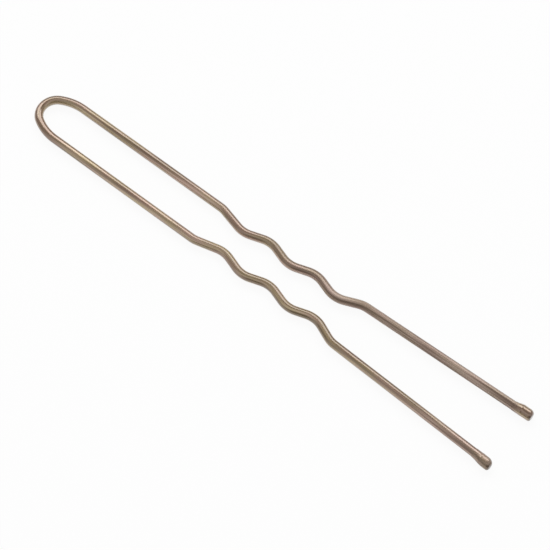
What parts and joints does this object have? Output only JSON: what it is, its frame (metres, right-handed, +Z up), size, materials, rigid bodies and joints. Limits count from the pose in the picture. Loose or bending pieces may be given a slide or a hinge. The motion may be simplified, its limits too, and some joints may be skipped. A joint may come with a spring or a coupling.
{
  "type": "hair pin",
  "caption": "U-shaped hair pin of springy round wire, bent to an open bow, with waved legs that spread towards beaded points and flex apart to grip hair.",
  "frame": {"origin": "under the middle of the pin, on the surface on which the beads rest", "axes": "+X along the pin from the bow to the points, +Y to the left leg, +Z up, square to the plane of the pin"},
  "size_m": [0.075, 0.0098, 0.0015],
  "materials": {
    "wire": "bronze-brown metallic lacquer over drawn steel wire, satin to semi-gloss",
    "bead": "dipped resin bead under the same bronze-brown lacquer, glossy"
  },
  "bodies": {
    "bow": {"bow": "wire"},
    "left_leg": {"left_leg": "wire", "left_tip": "bead"},
    "right_leg": {"right_leg": "wire", "right_tip": "bead"}
  },
  "joints": [
    {"name": "left_leg_flex", "type": "hinge", "parent": "bow", "child": "left_leg", "pos_m": [-0.03252, 0.00282, 0.00073], "axis": [0, 0, 1], "range_deg": [-1.6, 8], "stiffness_Nm_per_rad": 0.47, "deforming": ["bow"]},
    {"name": "right_leg_flex", "type": "hinge", "parent": "bow", "child": "right_leg", "pos_m": [-0.03252, -0.00282, 0.00073], "axis": [0, 0, -1], "range_deg": [-1.6, 8], "stiffness_Nm_per_rad": 0.47, "deforming": ["bow"]}
  ]
}
